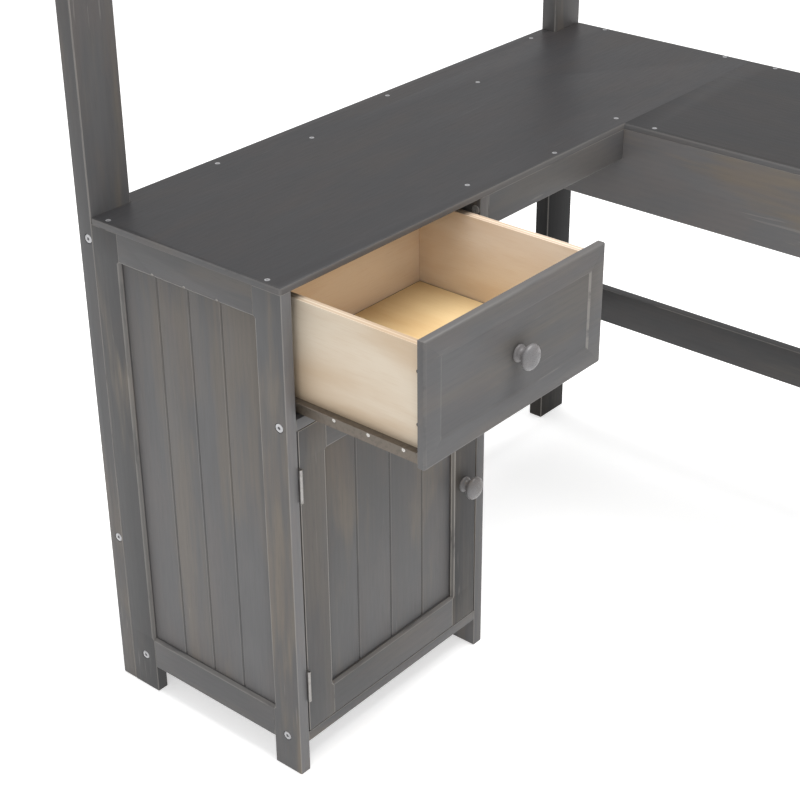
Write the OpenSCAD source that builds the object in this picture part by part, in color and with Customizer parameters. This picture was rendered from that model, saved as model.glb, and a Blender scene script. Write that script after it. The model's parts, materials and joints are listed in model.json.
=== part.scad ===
// Corner desk: an L-shaped worktop on two uprights and two end legs, with a
// framed cupboard that holds one drawer on roller runners and one hinged door.
// Millimetres, +Z up. The sizes are written from the outer left face (X), the
// front edge of the main run (Y) and the floor (Z); place() then moves all of
// it so that the origin is on the floor under the middle of the outer box.

/* [Worktop] */
// Overall width of the main run
desk_w = 1098; // [1000:1:1400]
// Depth of the main run and width of the return
run_d = 367; // [320:1:460]
// Length of the return in front of the main run
return_len = 1033; // [800:1:1250]
// Height of the worktop
desk_h = 750; // [700:1:900]
// Thickness of the worktop boards
top_t = 9; // [8:0.5:14]

/* [Posts and rails] */
// Width of a post or end leg, along X
post_w = 70; // [55:1:85]
// Thickness of a post or end leg, along Y
post_t = 27; // [24:1:34]
// Height of the two uprights
post_h = 1250; // [1000:1:1500]
// Thickness of every rail
rail_t = 18; // [16:0.5:22]
// Height of the rails right under the worktop
top_rail_h = 47; // [44:1:56]
// Height of the return's inner apron
apron_h = 121; // [95:1:145]
// Height of the low rails
low_rail_h = 64; // [50:1:78]
// Underside of the low rails above the floor
low_rail_z = 214; // [150:1:260]

/* [Cupboard frame] */
// Outer width of the cupboard
cab_w = 406; // [380:1:490]
// Thickness of its side frames
side_t = 18; // [17:0.5:22]
// Width of a side frame's leg
leg_w = 49; // [44:1:59]
// Height of a side frame's top rail
side_top_h = 44; // [36:1:53]
// Height of a side frame's bottom rail
side_low_h = 51; // [42:1:62]
// Floor gap under a side frame's bottom rail
foot_h = 45; // [37:1:54]
// Thickness of the bottom board and of the rail under the drawer
board_t = 16; // [16:0.5:20]
// Underside of the bottom board above the floor
bottom_z = 49; // [46:1:60]
// Depth of the rail under the drawer
mid_rail_d = 26; // [24:1:32]
// Thickness of the back board
back_t = 5; // [4:0.5:7]
// Gap behind the back board
back_gap = 1; // [0.5:0.5:3]
// Thickness of a grooved panel
panel_t = 6; // [5:0.5:7]
// How far a panel lies behind the face of its frame
recess = 6; // [4:0.5:7]
// How far a panel and the rails enter the grooves
tongue = 6; // [5:0.5:8]
// Pitch of the side panels' V grooves
side_groove_pitch = 58.5; // [48:0.5:70]

/* [Drawer] */
// Height of the drawer front
front_h = 171; // [145:1:205]
// Thickness of the drawer front
front_t = 12; // [12:0.5:18]
// Border round the drawer front's sunk field
front_border = 29; // [24:1:35]
// Depth of the sunk field
field_depth = 2; // [1:0.5:3]
// Width of the bevel round the sunk field
field_bevel = 3; // [1:0.5:6]
// Gap beside the drawer front
front_gap = 4; // [2:0.5:6]
// Gap over the drawer front
front_top_gap = 5; // [3:0.5:6]
// Gap under the drawer front
front_low_gap = 3; // [2:0.5:5]
// Length of the drawer box behind its front
box_len = 291; // [243:1:300]
// Thickness of the box walls
wall_t = 12; // [12:0.5:16]
// Height of the box walls
wall_h = 158; // [132:1:160]
// Thickness of the drawer bottom
floor_t = 6; // [5:0.5:7]
// Top of the drawer bottom above the lower edge of the walls
floor_up = 38; // [30:1:46]
// How far the drawer stands open at rest
drawer_open = 205; // [10:1:230]
// Travel of the drawer from shut to its stop
drawer_travel = 230; // [200:1:230]

/* [Door] */
// Thickness of the door
door_t = 16; // [15:0.5:19]
// Width of the door's stiles
door_stile_w = 51; // [42:1:62]
// Height of the door's top rail
door_top_h = 48; // [40:1:58]
// Height of the door's bottom rail
door_low_h = 53; // [44:1:64]
// Gap round the door
door_gap = 2.5; // [2.5:0.1:4]
// How far its panel lies behind its face
door_recess = 7; // [5:0.5:8]
// Pitch of the door panel's V grooves
door_groove_pitch = 69; // [57:0.5:75]
// Half the width of a V groove
groove_half = 2.2; // [1:0.1:3]

/* [Hardware] */
// Room for a runner beside the drawer box
runner_gap = 13; // [13:0.5:16]
// Radius of a runner's roller
roller_r = 9.5; // [8:0.1:10]
// Length of a knob from the face to its crown
knob_len = 26; // [22:1:32]
// Radius of a knob's head
knob_r = 17.5; // [14:0.5:21]
// Height of a hinge
hinge_h = 50; // [42:1:60]
// Radius of a hinge's barrel
barrel_r = 2.5; // [2.3:0.1:2.6]
// Distance of the hinges from the middle of the door
hinge_off = 160; // [133:1:180]
// Radius of a frame bolt's shank
bolt_r = 3; // [3:0.1:3.6]
// Radius of a frame bolt's head
bolt_head_r = 6.5; // [6:0.1:7.8]

/* [Hidden] */

$fn = 48;
eps = 0.5;                                // overshoot of a cutter past a face
grey = [0.33, 0.32, 0.33];
dark_grey = [0.28, 0.27, 0.28];
raw_wood = [0.85, 0.74, 0.58];
brown_steel = [0.22, 0.17, 0.14];
zinc = [0.72, 0.72, 0.74];

// Heights
under_top = desk_h - top_t;
top_rail_z = under_top - top_rail_h;
apron_z = under_top - apron_h;
floor_z = bottom_z + board_t;             // floor of the cupboard
front_z = under_top - front_top_gap - front_h;
mid_rail_z = front_z - front_low_gap - board_t;
mid_top = mid_rail_z + board_t;

// Depths
post_y = run_d - post_t;                  // front face of the two uprights
inner_x = desk_w - run_d;                 // inner edge of the return
outer_rail_x = desk_w - rail_t;
end_leg_y = -return_len;
end_rail_y = end_leg_y + post_t - rail_t;
cab_d = post_y;                           // the cupboard stands against the left upright
back_y = cab_d - back_t - back_gap;

// Cupboard opening
open_l = side_t;
open_r = cab_w - side_t;
open_mid = (open_l + open_r) / 2;

// Door
door_l = open_l + door_gap;
door_r = open_r - door_gap;
door_low = floor_z + door_gap / 2;
door_top = mid_rail_z - door_gap / 2;
door_mid = (door_low + door_top) / 2;
pin_r = 1.2;
pivot_x = open_l + door_gap / 2;
barrel_gap = 0.2;                         // from the barrel to the face of the frame
pivot_y = -barrel_r - barrel_gap;
leaf_play = 0.35;                         // half the gap between the folded leaves
leaf_t = door_gap / 2 - leaf_play;
leaf_d = door_t - 2;
leaf_y = 0.3;                             // front edge of the leaves behind the face
knuckle_h = hinge_h / 3;
knuckle_gap = 0.2;
knob_inset = door_stile_w / 2;

// Drawer, drawn shut and then pulled out by drawer_open
box_l = open_l + runner_gap;
box_r = open_r - runner_gap;
wall_z = front_z + 1;
wall_top = wall_z + wall_h;
box_y = front_t;
box_back = box_y + box_len;
bottom_top = wall_z + floor_up;
bottom_groove = 5;
front_l = open_l + front_gap;
front_r = open_r - front_gap;
front_w = front_r - front_l;
field_w = front_w - 2 * front_border;
field_h = front_h - 2 * front_border;
floor_x = box_l + wall_t - bottom_groove;
floor_y = box_y + wall_t - bottom_groove;

// Runners: a track fixed to the cupboard, a member under each drawer side
steel_t = 1.2;
track_z = mid_top + 1;
track_y = front_t + 2;
track_len = cab_d - 40;
track_h = 36;
track_w = runner_gap - 3;
roller_w = runner_gap - 5.5;
roller_gap = 0.2;                         // from a roller to the steel it rolls on
collar_t = 0.8;                           // collar that keeps a roller on its stud
collar_r = 4;
stud_r = 2.5;
rear_roller_z = track_z + steel_t + roller_r + roller_gap;
front_roller_z = rear_roller_z + 1.5;
front_roller_y = front_t + roller_r + 1.5;
front_roller_x = open_l + steel_t + 0.8;
rear_roller_x = open_l + steel_t + 1.5;
flange_z = front_roller_z + roller_r + roller_gap;
flange_x = open_l + 2.6;
member_y = box_y + 2;
member_len = box_len - 2;
rear_roller_y = box_back - roller_r - 1.5;
stop_h = 5;
stop_y = rear_roller_y - drawer_travel - roller_r - 0.5 - steel_t;

// Screws: radius of the shank, radius and height of the countersunk head
screw_r = 1.9;
screw_head_r = 3.6;
screw_head_h = 2;
small_r = 1.5;
small_head_r = 2.6;
small_head_h = 1.2;
knob_screw_r = 2;
knob_screw_head = 2;
knob_bore = knob_len * 0.55;
collar = knob_r * 0.66;
knob_neck = knob_r * 0.42;
box_screw_len = 30;
front_screw_len = wall_t + 8;
member_screw_len = 10;
runner_screw_len = 14;
hinge_screw_len = 13;
catch_screw_len = 12;
plate_screw_len = 10;
top_screw_len = 34;

// Frame bolts and barrel nuts
bolt_head_h = 3;
bolt_bite = 35;                           // length of bolt inside the second piece
nut_r = 5;
nut_len = 12;
nut_back = 8;                             // from the nut's axis to the bolt's tip
fit = 0.05;                               // clearance of a shank or nut in its hole
notch_gap = 0.3;                          // round an upright, in the worktop
dowel_r = 4;
dowel_depth = 30;
dowel_spacing = 40;

low_mid = low_rail_z + low_rail_h / 2 + 4;
high_mid = top_rail_z + top_rail_h / 2;
cross = 15;                               // height between two bolts that cross in a post
front_bolt_z = high_mid + 5;
apron_bolt_z = apron_z + 25;              // the lower of the apron's two bolts
mid_rail_bolt_z = mid_rail_z + board_t / 2;
board_bolt_z = bottom_z + board_t / 2;
board_bolt_y = [25, cab_d - 27];
rail_mid_y = post_y + rail_t / 2;
end_mid_y = end_rail_y + rail_t / 2;
apron_mid_x = inner_x + rail_t / 2;
outer_mid_x = outer_rail_x + rail_t / 2;
front_mid_y = rail_t / 2;
xp = [1, 0, 0];
xm = [-1, 0, 0];
yp = [0, 1, 0];
ym = [0, -1, 0];
zp = [0, 0, 1];
zm = [0, 0, -1];

// Each bolt: where its head lies, the way it points, the thickness it passes
// before it enters the next piece, and the way its nut's hole opens
BOLTS = [
    [[0, rail_mid_y, high_mid], xp, post_w, yp],
    [[0, rail_mid_y, low_mid], xp, post_w, yp],
    [[desk_w, rail_mid_y, high_mid - cross / 2], xm, post_w, yp],
    [[desk_w, rail_mid_y, low_mid], xm, post_w, yp],
    [[outer_mid_x, run_d, high_mid + cross / 2], ym, post_t, xm],
    [[outer_mid_x, run_d, low_mid - cross], ym, post_t, xm],
    [[apron_mid_x, post_y + rail_t, high_mid], ym, rail_t, xp],
    [[open_r, front_mid_y, front_bolt_z], xp, side_t, yp],
    [[inner_x + rail_t, front_mid_y, front_bolt_z], xm, rail_t, yp],
    [[outer_mid_x, end_leg_y, high_mid + cross / 2], yp, post_t, xm],
    [[outer_mid_x, end_leg_y, low_mid - cross], yp, post_t, xm],
    [[apron_mid_x, end_leg_y, high_mid + cross / 2], yp, post_t, xp],
    [[apron_mid_x, end_leg_y, apron_bolt_z], yp, post_t, xp],
    [[inner_x, end_mid_y, high_mid - cross / 2], xp, post_w, yp],
    [[inner_x, end_mid_y, low_mid], xp, post_w, yp],
    [[desk_w, end_mid_y, high_mid - cross / 2], xm, post_w, yp],
    [[desk_w, end_mid_y, low_mid], xm, post_w, yp],
    [[0, mid_rail_d / 2, mid_rail_bolt_z], xp, side_t, zm],
    [[cab_w, mid_rail_d / 2, mid_rail_bolt_z], xm, side_t, zm],
    [[0, board_bolt_y[0], board_bolt_z], xp, side_t, zm],
    [[0, board_bolt_y[1], board_bolt_z], xp, side_t, zm],
    [[cab_w, board_bolt_y[0], board_bolt_z], xm, side_t, zm],
    [[cab_w, board_bolt_y[1], board_bolt_z], xm, side_t, zm]];

// Screws down through the worktop
leg_screw_y = [30, cab_d - leg_w / 2];
back_screw_x = [240, 604, desk_w - 125];
front_screw_mid = (cab_w + inner_x) / 2;
near_seam = 46;                           // from the seam of the two worktop boards
from_post = 60;
from_end = 80;
TOP_SCREWS = [
    [side_t / 2, leg_screw_y[0]],
    [side_t / 2, leg_screw_y[1]],
    [cab_w - side_t / 2, leg_screw_y[0]],
    [cab_w - side_t / 2, leg_screw_y[1]],
    [front_screw_mid, front_mid_y],
    [back_screw_x[0], rail_mid_y],
    [back_screw_x[1], rail_mid_y],
    [back_screw_x[2], rail_mid_y],
    [apron_mid_x, post_y - from_post],
    [apron_mid_x, rail_t + 3],
    [apron_mid_x, -near_seam],
    [apron_mid_x, end_leg_y / 2],
    [apron_mid_x, end_leg_y + from_end],
    [outer_mid_x, post_y - from_post],
    [outer_mid_x, near_seam],
    [outer_mid_x, -near_seam],
    [outer_mid_x, end_leg_y / 2],
    [outer_mid_x, end_leg_y + from_end],
    [desk_w - run_d / 2, end_mid_y]];

// Places of the small screws
runner_screw_y = [30, cab_d - leg_w + tongue + 4];
runner_screw_z = track_z + 28;
member_screw_y = [box_y + 28, box_y + 84, box_y + 140, box_back - 41];
member_screw_z = flange_z - 9;
box_screw_z = [wall_z + wall_h * 0.33, wall_z + wall_h * 0.78];
front_screw_x = [open_mid - 95, open_mid + 95];
box_screw_y = [box_y + wall_t / 2, box_back - wall_t / 2];
hinge_screw_y = leaf_d * 0.6;
hinge_screw_z = [-hinge_h * 0.35, hinge_h * 0.35];
hinge_zs = [door_mid - hinge_off, door_mid + hinge_off];
knob_z = front_z + front_h / 2;
door_knob_x = door_r - knob_inset;

// Grooved panels
side_panel_z = foot_h + side_low_h - tongue;
side_panel_h = under_top - side_top_h - tongue - side_panel_z + 2 * tongue;
side_panel_y = leg_w - tongue;
side_panel_d = cab_d - 2 * side_panel_y;
door_panel_z = door_low + door_low_h - tongue;
door_panel_h = door_top - door_top_h + tongue - door_panel_z;
door_panel_x = door_l + door_stile_w - tongue;
door_panel_w = door_r - door_stile_w + tongue - door_panel_x;

// Magnetic catch inside the cupboard's right front leg
catch_w = 12;
catch_d = 24;
catch_h = 44;
catch_gap = 0.4;
plate_t = 1.2;
plate_w = 11;
plate_h = 32;
catch_y = door_t + plate_t + catch_gap;
catch_z = mid_rail_z - 25 - catch_h;
catch_mid_z = catch_z + catch_h / 2;
catch_mid_y = catch_y + catch_d / 2;
catch_pocket = 8;
catch_base = 2;                           // thickness left behind the pocket
catch_screw = [open_r - catch_base, catch_mid_y, catch_mid_z];
plate_screw = [door_r - 7, door_t + plate_t, catch_mid_z];

// The same box seen from the middle of its floor
module place() translate([-desk_w / 2, (return_len - run_d) / 2, 0]) children();

// The drawer's pieces, pulled out to where they rest
module pulled() translate([0, -drawer_open, 0]) children();

// The angles that turn +Z to direction d
function turn(d) = d[0] != 0 ? [0, 90 * d[0], 0]
    : d[1] != 0 ? [-90 * d[1], 0, 0]
    : d[2] > 0 ? [0, 0, 0] : [180, 0, 0];
module aim(p, d) translate(p) rotate(turn(d)) children();

function bolt_len(b) = b[2] + bolt_bite;
function nut_pos(b) = b[0] + b[1] * (bolt_len(b) - nut_back);
function on_axis(lo, hi, p, q, r) = min(p, q) - r < hi && max(p, q) + r > lo;
function hits(p, s, from, to, r) = on_axis(p[0], p[0] + s[0], from[0], to[0], r)
    && on_axis(p[1], p[1] + s[1], from[1], to[1], r)
    && on_axis(p[2], p[2] + s[2], from[2], to[2], r);

module bolt_cut(b) {
    aim(b[0] - b[1] * eps, b[1]) cylinder(r = bolt_head_r + 0.5, h = bolt_head_h + 0.2 + eps);
    aim(b[0], b[1]) cylinder(r = bolt_r + 0.2, h = bolt_len(b) + 1);
    aim(nut_pos(b) - b[3] * (nut_len / 2), b[3]) cylinder(r = nut_r + fit, h = nut_len + 4);
}
module screw_cut(p, d, len, r = screw_r, hr = screw_head_r, hh = screw_head_h) {
    aim(p, d) cylinder(r = r + fit, h = len + fit);
    aim(p, d) cylinder(r1 = hr + fit, r2 = r + fit, h = hh);
    aim(p - d * eps, d) cylinder(r = hr + fit, h = eps);
}
module screw(p, d, len, r = screw_r, hr = screw_head_r, hh = screw_head_h) {
    aim(p, d) difference() {
        union() {
            cylinder(r1 = hr, r2 = r, h = hh);
            cylinder(r = r, h = len - r);
            translate([0, 0, len - r]) cylinder(r1 = r, r2 = 0.2, h = r);
        }
        for (a = [0, 90]) rotate([0, 0, a])
            translate([-hr * 0.55, -0.35, -eps]) cube([hr * 1.1, 0.7, eps + hh * 0.55]);
    }
}

// A square-cut piece of wood at p, of size s, drilled where bolts and worktop screws meet it
module plank(p, s) {
    difference() {
        translate(p) cube(s);
        for (b = BOLTS)
            if (hits(p, s, b[0], b[0] + b[1] * bolt_len(b), nut_r)) bolt_cut(b);
        for (t = TOP_SCREWS)
            if (hits(p, s, [t[0], t[1], desk_h], [t[0], t[1], desk_h - top_screw_len], screw_r))
                screw_cut([t[0], t[1], desk_h], zm, top_screw_len);
    }
}

// ---- Worktop ----
module main_top() place() color(dark_grey) difference() {
    plank([0, 0, under_top], [desk_w, run_d, top_t]);
    for (x = [-eps, desk_w - post_w - notch_gap])
        translate([x, post_y - notch_gap, under_top - eps])
            cube([post_w + notch_gap + eps, post_t + notch_gap + eps, top_t + 2 * eps]);
}
module return_top() place() color(dark_grey)
    plank([inner_x, end_leg_y, under_top], [run_d, return_len, top_t]);

// ---- Uprights, end legs and rails ----
module post(x) difference() {
    plank([x, post_y, 0], [post_w, post_t, post_h]);
    for (i = [-1, 1])
        translate([x + post_w / 2 + i * dowel_spacing / 2, post_y + post_t / 2, post_h - dowel_depth])
            cylinder(r = dowel_r, h = dowel_depth + eps);
}
module left_post() place() color(grey) post(0);
module corner_post() place() color(grey) post(desk_w - post_w);
module upper_back_rail() place() color(grey)
    plank([post_w, post_y, top_rail_z], [desk_w - 2 * post_w, rail_t, top_rail_h]);
module lower_back_rail() place() color(grey)
    plank([post_w, post_y, low_rail_z], [desk_w - 2 * post_w, rail_t, low_rail_h]);
module front_rail() place() color(grey)
    plank([cab_w, 0, top_rail_z], [inner_x - cab_w, rail_t, top_rail_h]);
module return_apron() place() color(grey)
    plank([inner_x, end_leg_y + post_t, apron_z], [rail_t, return_len - post_t + post_y, apron_h]);
module return_outer_rail() place() color(grey)
    plank([outer_rail_x, end_leg_y + post_t, top_rail_z],
        [rail_t, return_len - post_t + post_y, top_rail_h]);
module return_stretcher() place() color(grey)
    plank([outer_rail_x, end_leg_y + post_t, low_rail_z],
        [rail_t, return_len - post_t + post_y, low_rail_h]);
module outer_end_leg() place() color(grey)
    plank([desk_w - post_w, end_leg_y, 0], [post_w, post_t, under_top]);
module inner_end_leg() place() color(grey)
    plank([inner_x, end_leg_y, 0], [post_w, post_t, under_top]);
module end_top_rail() place() color(grey)
    plank([inner_x + post_w, end_rail_y, top_rail_z], [run_d - 2 * post_w, rail_t, top_rail_h]);
module end_low_rail() place() color(grey)
    plank([inner_x + post_w, end_rail_y, low_rail_z], [run_d - 2 * post_w, rail_t, low_rail_h]);

// ---- Cupboard: the right side frame is the left one mirrored ----
module side(right) {
    if (right) translate([cab_w, 0, 0]) mirror([1, 0, 0]) children();
    else children();
}
module small_cut(p, d, len) screw_cut(p, d, len, small_r, small_head_r, small_head_h);
module small_screw(p, d, len) screw(p, d, len, small_r, small_head_r, small_head_h);
module panel_band(z, h) translate([recess, side_panel_y, z]) cube([panel_t, side_panel_d, h]);
module vee(len) linear_extrude(len)
    polygon([[-groove_half, -eps], [groove_half, -eps], [groove_half, 0], [0, groove_half],
        [-groove_half, 0]]);
module leg(right, y) difference() {
    plank([right ? open_r : 0, y, 0], [side_t, leg_w, under_top]);
    side(right) panel_band(foot_h, under_top - foot_h + eps);
    if (!right && y == 0) hinge_screw_places(xm) small_cut([0, 0, 0], xm, hinge_screw_len);
    for (sy = runner_screw_y)
        if (sy > y && sy < y + leg_w)
            side(right) small_cut([open_l + steel_t, sy, runner_screw_z], xm, runner_screw_len);
    if (right && y == 0) small_cut(catch_screw, xp, catch_screw_len);
}
module side_rail(right, z, h) side(right) difference() {
    union() {
        translate([0, leg_w, z]) cube([side_t, cab_d - 2 * leg_w, h]);
        panel_band(z, h);
    }
    translate([recess, 0, side_panel_z]) cube([panel_t, cab_d, side_panel_h]);
}
module side_panel(right) side(right) difference() {
    panel_band(side_panel_z, side_panel_h);
    for (i = [-1, 0, 1])
        translate([recess, cab_d / 2 + i * side_groove_pitch, foot_h]) rotate([0, 0, -90]) vee(desk_h);
}
module left_front_leg() place() color(grey) leg(false, 0);
module left_back_leg() place() color(grey) leg(false, cab_d - leg_w);
module left_top_rail() place() color(grey) side_rail(false, under_top - side_top_h, side_top_h);
module left_bottom_rail() place() color(grey) side_rail(false, foot_h, side_low_h);
module left_side_panel() place() color(grey) side_panel(false);
module right_front_leg() place() color(grey) leg(true, 0);
module right_back_leg() place() color(grey) leg(true, cab_d - leg_w);
module right_top_rail() place() color(grey) side_rail(true, under_top - side_top_h, side_top_h);
module right_bottom_rail() place() color(grey) side_rail(true, foot_h, side_low_h);
module right_side_panel() place() color(grey) side_panel(true);
module mid_rail() place() color(grey)
    plank([open_l, 0, mid_rail_z], [open_r - open_l, mid_rail_d, board_t]);
module bottom_board() place() color(grey)
    plank([open_l, 0, bottom_z], [open_r - open_l, back_y, board_t]);
module back_board() place() color(grey)
    translate([open_l, back_y, bottom_z]) cube([open_r - open_l, back_t, under_top - bottom_z]);

// ---- Drawer ----
module drawer_front() place() pulled() color(grey) difference() {
    translate([front_l, 0, front_z]) cube([front_w, front_t, front_h]);
    hull() {
        translate([front_l + front_border, -eps, front_z + front_border])
            cube([field_w, eps, field_h]);
        translate([front_l + front_border + field_bevel, 0, front_z + front_border + field_bevel])
            cube([field_w - 2 * field_bevel, field_depth, field_h - 2 * field_bevel]);
    }
    drawer_knob_hole();
    drawer_front_screw_cuts();
}
module drawer_knob_hole() translate([open_mid, box_y + wall_t + eps, knob_z]) rotate(turn(ym))
    cylinder(r = knob_screw_r + 0.2, h = front_t + wall_t + 2 * eps);
module drawer_front_screw_cuts() for (x = front_screw_x)
    screw_cut([x, box_y + wall_t, knob_z], ym, front_screw_len);
module drawer_floor() translate([floor_x, floor_y, bottom_top - floor_t])
    cube([box_r + box_l - 2 * floor_x, box_y + box_back - 2 * floor_y, floor_t]);
module box_screw_places() for (y = box_screw_y, z = box_screw_z) {
    translate([box_l, y, z]) rotate(turn(xp)) children();
    translate([box_r, y, z]) rotate(turn(xm)) children();
}
module member_screw_places() for (y = member_screw_y)
    translate([box_l - steel_t, y, member_screw_z]) children();
module drawer_side(right) difference() {
    translate([right ? box_r - wall_t : box_l, box_y, wall_z]) cube([wall_t, box_len, wall_h]);
    drawer_floor();
    box_screw_places() small_cut([0, 0, 0], zp, box_screw_len);
    side(right) member_screw_places() small_cut([0, 0, 0], xp, member_screw_len);
}
module cross_wall(y) difference() {
    translate([box_l + wall_t, y, wall_z]) cube([box_r - box_l - 2 * wall_t, wall_t, wall_h]);
    drawer_floor();
    box_screw_places() small_cut([0, 0, 0], zp, box_screw_len);
}
module drawer_left_side() place() pulled() color(raw_wood) drawer_side(false);
module drawer_right_side() place() pulled() color(raw_wood) drawer_side(true);
module drawer_inner_front() place() pulled() color(raw_wood) difference() {
    cross_wall(box_y);
    drawer_knob_hole();
    drawer_front_screw_cuts();
}
module drawer_back() place() pulled() color(raw_wood) cross_wall(box_back - wall_t);
module drawer_bottom() place() pulled() color(raw_wood) drawer_floor();

// A turned knob: base collar, neck and mushroom head, with a blind hole for its screw
module knob() difference() {
    rotate_extrude() polygon(concat(
        [[0, 0], [collar, 0], [collar, 2.5], [knob_r * 0.56, 4], [knob_r * 0.46, 6],
            [knob_neck, 9], [knob_r * 0.5, knob_len * 0.48]],
        [for (a = [-50:14:90]) [knob_r * cos(a), knob_len * 0.7 + knob_len * 0.3 * sin(a)]]));
    translate([0, 0, -eps]) cylinder(r = knob_screw_r + fit, h = knob_bore + eps);
}
module knob_screw(grip) {
    cylinder(r = knob_screw_r * 2, h = knob_screw_head);
    cylinder(r = knob_screw_r, h = knob_screw_head + grip + knob_bore - 1);
}
module drawer_knob() place() pulled() color(grey) aim([open_mid, 0, knob_z], ym) knob();
module drawer_knob_screw() place() pulled() color(zinc)
    aim([open_mid, box_y + wall_t + knob_screw_head, knob_z], ym) knob_screw(front_t + wall_t);
module drawer_screws() place() pulled() color(zinc) {
    box_screw_places() small_screw([0, 0, 0], zp, box_screw_len);
    for (x = front_screw_x) screw([x, box_y + wall_t, knob_z], ym, front_screw_len);
    for (r = [false, true])
        side(r) member_screw_places() small_screw([0, 0, 0], xp, member_screw_len);
}

// ---- Runners ----
module cabinet_runner(right) side(right) difference() {
    union() {
        translate([open_l, track_y, track_z]) cube([steel_t, track_len, track_h]);
        translate([open_l, track_y, track_z]) cube([track_w, track_len, steel_t]);
        translate([open_l, stop_y, track_z]) cube([track_w, steel_t, steel_t + stop_h]);
        translate([open_l, front_roller_y, front_roller_z]) rotate(turn(xp))
            cylinder(r = stud_r, h = track_w);
        translate([front_roller_x + roller_w + 0.3, front_roller_y, front_roller_z])
            rotate(turn(xp)) cylinder(r = collar_r, h = collar_t);
    }
    for (y = runner_screw_y)
        small_cut([open_l + steel_t, y, runner_screw_z], xm, runner_screw_len);
}
module drawer_runner(right) side(right) difference() {
    union() {
        translate([box_l - steel_t, member_y, wall_z - steel_t])
            cube([steel_t, member_len, flange_z + 2 * steel_t - wall_z]);
        translate([box_l - steel_t, member_y, wall_z - steel_t]) cube([wall_t, member_len, steel_t]);
        translate([flange_x, member_y, flange_z]) cube([box_l - flange_x, member_len, steel_t]);
        translate([rear_roller_x - 0.5, rear_roller_y, rear_roller_z]) rotate(turn(xp))
            cylinder(r = stud_r, h = box_l - rear_roller_x + 0.5);
        translate([rear_roller_x - 0.3 - collar_t, rear_roller_y, rear_roller_z])
            rotate(turn(xp)) cylinder(r = collar_r, h = collar_t);
    }
    member_screw_places() small_cut([0, 0, 0], xp, member_screw_len);
}
module left_cabinet_runner() place() color(brown_steel) cabinet_runner(false);
module right_cabinet_runner() place() color(brown_steel) cabinet_runner(true);
module left_drawer_runner() place() pulled() color(brown_steel) drawer_runner(false);
module right_drawer_runner() place() pulled() color(brown_steel) drawer_runner(true);
module roller() rotate(turn(xp)) difference() {
    cylinder(r = roller_r, h = roller_w);
    translate([0, 0, -eps]) cylinder(r = stud_r + fit, h = roller_w + 2 * eps);
}
module front_rollers() place() color("white") for (r = [false, true]) side(r)
    translate([front_roller_x, front_roller_y, front_roller_z]) roller();
module rear_rollers() place() pulled() color("white") for (r = [false, true]) side(r)
    translate([rear_roller_x, rear_roller_y, rear_roller_z]) roller();

// ---- Door ----
module door_band(z, h) translate([door_panel_x, door_recess, z]) cube([door_panel_w, panel_t, h]);
module door_stile(right) difference() {
    translate([right ? door_r - door_stile_w : door_l, 0, door_low])
        cube([door_stile_w, door_t, door_top - door_low]);
    door_band(door_low - eps, door_top - door_low + 2 * eps);
    if (right) {
        translate([door_knob_x, door_t + eps, door_mid]) rotate(turn(ym))
            cylinder(r = knob_screw_r + 0.2, h = door_t + 2 * eps);
        small_cut(plate_screw, ym, plate_screw_len);
    }
    if (!right) hinge_screw_places(xp) small_cut([0, 0, 0], xp, hinge_screw_len);
}
module door_rail(z, h) difference() {
    union() {
        translate([door_l + door_stile_w, 0, z])
            cube([door_r - door_l - 2 * door_stile_w, door_t, h]);
        door_band(z, h);
    }
    translate([door_l, door_recess, door_panel_z]) cube([door_r - door_l, panel_t, door_panel_h]);
}
module door_left_stile() place() color(grey) door_stile(false);
module door_right_stile() place() color(grey) door_stile(true);
module door_top_rail() place() color(grey) door_rail(door_top - door_top_h, door_top_h);
module door_bottom_rail() place() color(grey) door_rail(door_low, door_low_h);
module door_panel() place() color(grey) difference() {
    door_band(door_panel_z, door_panel_h);
    for (i = [-1, 0, 1])
        translate([open_mid + i * door_groove_pitch, door_recess, door_low]) vee(door_top);
}
module door_knob() place() color(grey) aim([door_knob_x, 0, door_mid], ym) knob();
module door_knob_screw() place() color(zinc)
    aim([door_knob_x, door_t + knob_screw_head, door_mid], ym) knob_screw(door_t);

// ---- Hinges: three knuckles round a pin, the middle one on the door ----
module hinge_screw_places(d) for (z = hinge_zs, s = hinge_screw_z)
    translate([pivot_x + d[0] * leaf_play, hinge_screw_y, z + s]) children();
module knuckle(z, h, bore) translate([pivot_x, pivot_y, z]) difference() {
    cylinder(r = barrel_r, h = h);
    translate([0, 0, -eps]) cylinder(r = bore, h = h + 2 * eps);
}
// Leaves on the side given by d, with knuckles over the given spans of their height
module leaves(d, spans, bore) {
    x = d[0] < 0 ? open_l : door_l - leaf_t;
    difference() {
        for (z = hinge_zs) {
            translate([x, leaf_y, z - hinge_h / 2]) cube([leaf_t, leaf_d - leaf_y, hinge_h]);
            for (s = spans)
                translate([x, pivot_y, z + s[0]]) cube([leaf_t, leaf_y + eps - pivot_y, s[1]]);
        }
        hinge_screw_places(d) small_cut([0, 0, 0], d, hinge_screw_len);
        translate([pivot_x, pivot_y, door_low]) cylinder(r = barrel_r - 0.4, h = door_top - door_low);
    }
    for (z = hinge_zs, s = spans) knuckle(z + s[0], s[1], bore);
}
module hinge_frame_leaves() place() color(zinc) leaves(xm,
    [[-hinge_h / 2, knuckle_h - knuckle_gap], [knuckle_h / 2 + knuckle_gap, knuckle_h - knuckle_gap]],
    pin_r);
module hinge_door_leaves() place() color(zinc) leaves(xp,
    [[(knuckle_gap - knuckle_h) / 2, knuckle_h - knuckle_gap]], pin_r + fit);
module hinge_pins() place() color(zinc) for (z = hinge_zs)
    translate([pivot_x, pivot_y, z - hinge_h / 2]) cylinder(r = pin_r, h = hinge_h);

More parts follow.
